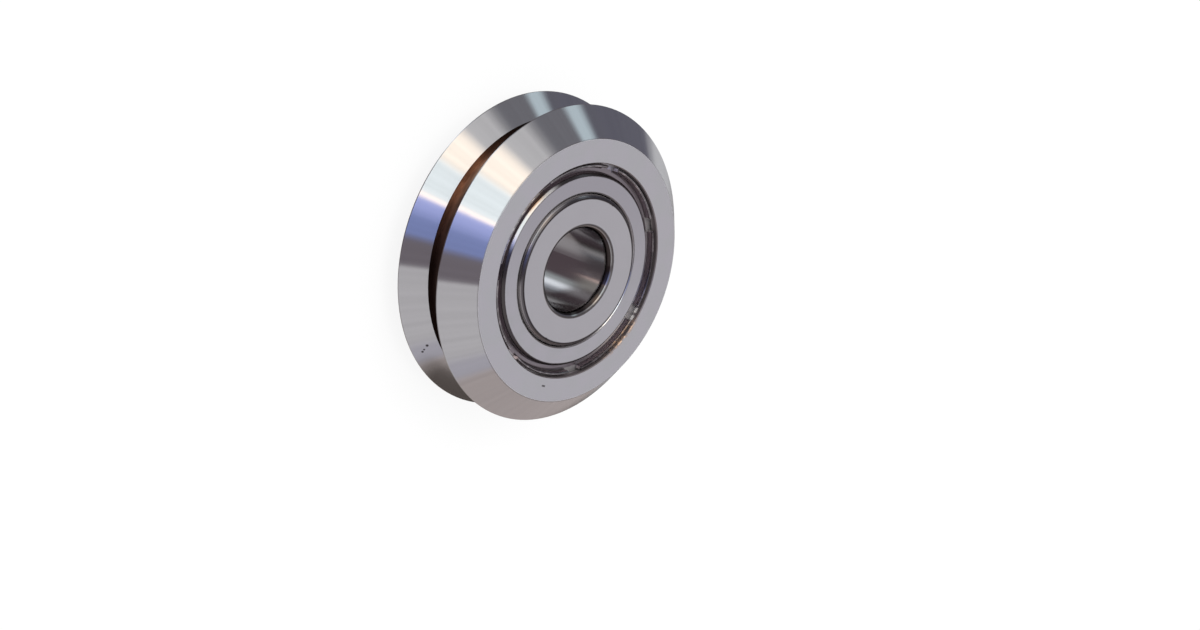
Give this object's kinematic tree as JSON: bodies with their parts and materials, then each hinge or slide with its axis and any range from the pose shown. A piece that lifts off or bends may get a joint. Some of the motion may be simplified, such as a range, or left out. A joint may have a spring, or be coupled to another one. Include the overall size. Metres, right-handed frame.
{
  "type": "track wheel",
  "caption": "Steel dual-vee guide wheel: a shielded double-row ball bearing whose outer ring has two vee rims and a groove that run on vee-edged track.",
  "frame": {"origin": "centre of the wheel, on its axis and halfway across its width", "axes": "+Z along the bore to the front face, which looks up; the wheel stands on its rear face"},
  "size_m": [0.0458, 0.0458, 0.0158],
  "materials": {
    "ring_steel": "hardened bearing steel, ground round its circumference",
    "shield_steel": "pressed stainless sheet, satin",
    "ball_steel": "polished bearing steel",
    "cage_polymer": "moulded cage plastic"
  },
  "bodies": {
    "hub": {"inner_ring": "ring_steel"},
    "wheel": {"outer_ring": "ring_steel", "front_shield": "shield_steel", "rear_shield": "shield_steel"},
    "front_cage": {"front_cage": "cage_polymer"},
    "rear_cage": {"rear_cage": "cage_polymer"},
    "ball_front_01": {"ball_front_01": "ball_steel"},
    "ball_front_02": {"ball_front_02": "ball_steel"},
    "ball_front_03": {"ball_front_03": "ball_steel"},
    "ball_front_04": {"ball_front_04": "ball_steel"},
    "ball_front_05": {"ball_front_05": "ball_steel"},
    "ball_front_06": {"ball_front_06": "ball_steel"},
    "ball_front_07": {"ball_front_07": "ball_steel"},
    "ball_front_08": {"ball_front_08": "ball_steel"},
    "ball_front_09": {"ball_front_09": "ball_steel"},
    "ball_front_10": {"ball_front_10": "ball_steel"},
    "ball_front_11": {"ball_front_11": "ball_steel"},
    "ball_rear_01": {"ball_rear_01": "ball_steel"},
    "ball_rear_02": {"ball_rear_02": "ball_steel"},
    "ball_rear_03": {"ball_rear_03": "ball_steel"},
    "ball_rear_04": {"ball_rear_04": "ball_steel"},
    "ball_rear_05": {"ball_rear_05": "ball_steel"},
    "ball_rear_06": {"ball_rear_06": "ball_steel"},
    "ball_rear_07": {"ball_rear_07": "ball_steel"},
    "ball_rear_08": {"ball_rear_08": "ball_steel"},
    "ball_rear_09": {"ball_rear_09": "ball_steel"},
    "ball_rear_10": {"ball_rear_10": "ball_steel"},
    "ball_rear_11": {"ball_rear_11": "ball_steel"}
  },
  "joints": [
    {"name": "wheel_spin", "type": "hinge", "parent": "hub", "child": "wheel", "pos_m": [0, 0, 0], "axis": [0, 0, 1], "continuous": true},
    {"name": "front_cage_spin", "type": "hinge", "parent": "hub", "child": "front_cage", "pos_m": [0, 0, 0.0033], "axis": [0, 0, 1], "continuous": true},
    {"name": "rear_cage_spin", "type": "hinge", "parent": "hub", "child": "rear_cage", "pos_m": [0, 0, -0.0033], "axis": [0, 0, 1], "continuous": true},
    {"name": "ball_front_01_roll", "type": "hinge", "parent": "front_cage", "child": "ball_front_01", "pos_m": [0, 0.0123, 0.0033], "axis": [0, 0.5, 0.866], "continuous": true},
    {"name": "ball_front_02_roll", "type": "hinge", "parent": "front_cage", "child": "ball_front_02", "pos_m": [-0.00665, 0.01035, 0.0033], "axis": [-0.2703, 0.4206, 0.866], "continuous": true},
    {"name": "ball_front_03_roll", "type": "hinge", "parent": "front_cage", "child": "ball_front_03", "pos_m": [-0.01119, 0.00511, 0.0033], "axis": [-0.4548, 0.2077, 0.866], "continuous": true},
    {"name": "ball_front_04_roll", "type": "hinge", "parent": "front_cage", "child": "ball_front_04", "pos_m": [-0.01217, -0.00175, 0.0033], "axis": [-0.4949, -0.0712, 0.866], "continuous": true},
    {"name": "ball_front_05_roll", "type": "hinge", "parent": "front_cage", "child": "ball_front_05", "pos_m": [-0.0093, -0.00805, 0.0033], "axis": [-0.3779, -0.3274, 0.866], "continuous": true},
    {"name": "ball_front_06_roll", "type": "hinge", "parent": "front_cage", "child": "ball_front_06", "pos_m": [-0.00347, -0.0118, 0.0033], "axis": [-0.1409, -0.4797, 0.866], "continuous": true},
    {"name": "ball_front_07_roll", "type": "hinge", "parent": "front_cage", "child": "ball_front_07", "pos_m": [0.00347, -0.0118, 0.0033], "axis": [0.1409, -0.4797, 0.866], "continuous": true},
    {"name": "ball_front_08_roll", "type": "hinge", "parent": "front_cage", "child": "ball_front_08", "pos_m": [0.0093, -0.00805, 0.0033], "axis": [0.3779, -0.3274, 0.866], "continuous": true},
    {"name": "ball_front_09_roll", "type": "hinge", "parent": "front_cage", "child": "ball_front_09", "pos_m": [0.01217, -0.00175, 0.0033], "axis": [0.4949, -0.0712, 0.866], "continuous": true},
    {"name": "ball_front_10_roll", "type": "hinge", "parent": "front_cage", "child": "ball_front_10", "pos_m": [0.01119, 0.00511, 0.0033], "axis": [0.4548, 0.2077, 0.866], "continuous": true},
    {"name": "ball_front_11_roll", "type": "hinge", "parent": "front_cage", "child": "ball_front_11", "pos_m": [0.00665, 0.01035, 0.0033], "axis": [0.2703, 0.4206, 0.866], "continuous": true},
    {"name": "ball_rear_01_roll", "type": "hinge", "parent": "rear_cage", "child": "ball_rear_01", "pos_m": [-0.00347, 0.0118, -0.0033], "axis": [0.1409, -0.4797, 0.866], "continuous": true},
    {"name": "ball_rear_02_roll", "type": "hinge", "parent": "rear_cage", "child": "ball_rear_02", "pos_m": [-0.0093, 0.00805, -0.0033], "axis": [0.3779, -0.3274, 0.866], "continuous": true},
    {"name": "ball_rear_03_roll", "type": "hinge", "parent": "rear_cage", "child": "ball_rear_03", "pos_m": [-0.01217, 0.00175, -0.0033], "axis": [0.4949, -0.0712, 0.866], "continuous": true},
    {"name": "ball_rear_04_roll", "type": "hinge", "parent": "rear_cage", "child": "ball_rear_04", "pos_m": [-0.01119, -0.00511, -0.0033], "axis": [0.4548, 0.2077, 0.866], "continuous": true},
    {"name": "ball_rear_05_roll", "type": "hinge", "parent": "rear_cage", "child": "ball_rear_05", "pos_m": [-0.00665, -0.01035, -0.0033], "axis": [0.2703, 0.4206, 0.866], "continuous": true},
    {"name": "ball_rear_06_roll", "type": "hinge", "parent": "rear_cage", "child": "ball_rear_06", "pos_m": [0, -0.0123, -0.0033], "axis": [0, 0.5, 0.866], "continuous": true},
    {"name": "ball_rear_07_roll", "type": "hinge", "parent": "rear_cage", "child": "ball_rear_07", "pos_m": [0.00665, -0.01035, -0.0033], "axis": [-0.2703, 0.4206, 0.866], "continuous": true},
    {"name": "ball_rear_08_roll", "type": "hinge", "parent": "rear_cage", "child": "ball_rear_08", "pos_m": [0.01119, -0.00511, -0.0033], "axis": [-0.4548, 0.2077, 0.866], "continuous": true},
    {"name": "ball_rear_09_roll", "type": "hinge", "parent": "rear_cage", "child": "ball_rear_09", "pos_m": [0.01217, 0.00175, -0.0033], "axis": [-0.4949, -0.0712, 0.866], "continuous": true},
    {"name": "ball_rear_10_roll", "type": "hinge", "parent": "rear_cage", "child": "ball_rear_10", "pos_m": [0.0093, 0.00805, -0.0033], "axis": [-0.3779, -0.3274, 0.866], "continuous": true},
    {"name": "ball_rear_11_roll", "type": "hinge", "parent": "rear_cage", "child": "ball_rear_11", "pos_m": [0.00347, 0.0118, -0.0033], "axis": [-0.1409, -0.4797, 0.866], "continuous": true}
  ],
  "couplings": [
    {"joint": "front_cage_spin", "follows": "wheel_spin", "ratio": 0.58382},
    {"joint": "rear_cage_spin", "follows": "wheel_spin", "ratio": 0.58382},
    {"joint": "ball_front_01_roll", "follows": "wheel_spin", "ratio": 2.5104},
    {"joint": "ball_front_02_roll", "follows": "wheel_spin", "ratio": 2.5104},
    {"joint": "ball_front_03_roll", "follows": "wheel_spin", "ratio": 2.5104},
    {"joint": "ball_front_04_roll", "follows": "wheel_spin", "ratio": 2.5104},
    {"joint": "ball_front_05_roll", "follows": "wheel_spin", "ratio": 2.5104},
    {"joint": "ball_front_06_roll", "follows": "wheel_spin", "ratio": 2.5104},
    {"joint": "ball_front_07_roll", "follows": "wheel_spin", "ratio": 2.5104},
    {"joint": "ball_front_08_roll", "follows": "wheel_spin", "ratio": 2.5104},
    {"joint": "ball_front_09_roll", "follows": "wheel_spin", "ratio": 2.5104},
    {"joint": "ball_front_10_roll", "follows": "wheel_spin", "ratio": 2.5104},
    {"joint": "ball_front_11_roll", "follows": "wheel_spin", "ratio": 2.5104},
    {"joint": "ball_rear_01_roll", "follows": "wheel_spin", "ratio": 2.5104},
    {"joint": "ball_rear_02_roll", "follows": "wheel_spin", "ratio": 2.5104},
    {"joint": "ball_rear_03_roll", "follows": "wheel_spin", "ratio": 2.5104},
    {"joint": "ball_rear_04_roll", "follows": "wheel_spin", "ratio": 2.5104},
    {"joint": "ball_rear_05_roll", "follows": "wheel_spin", "ratio": 2.5104},
    {"joint": "ball_rear_06_roll", "follows": "wheel_spin", "ratio": 2.5104},
    {"joint": "ball_rear_07_roll", "follows": "wheel_spin", "ratio": 2.5104},
    {"joint": "ball_rear_08_roll", "follows": "wheel_spin", "ratio": 2.5104},
    {"joint": "ball_rear_09_roll", "follows": "wheel_spin", "ratio": 2.5104},
    {"joint": "ball_rear_10_roll", "follows": "wheel_spin", "ratio": 2.5104},
    {"joint": "ball_rear_11_roll", "follows": "wheel_spin", "ratio": 2.5104}
  ]
}
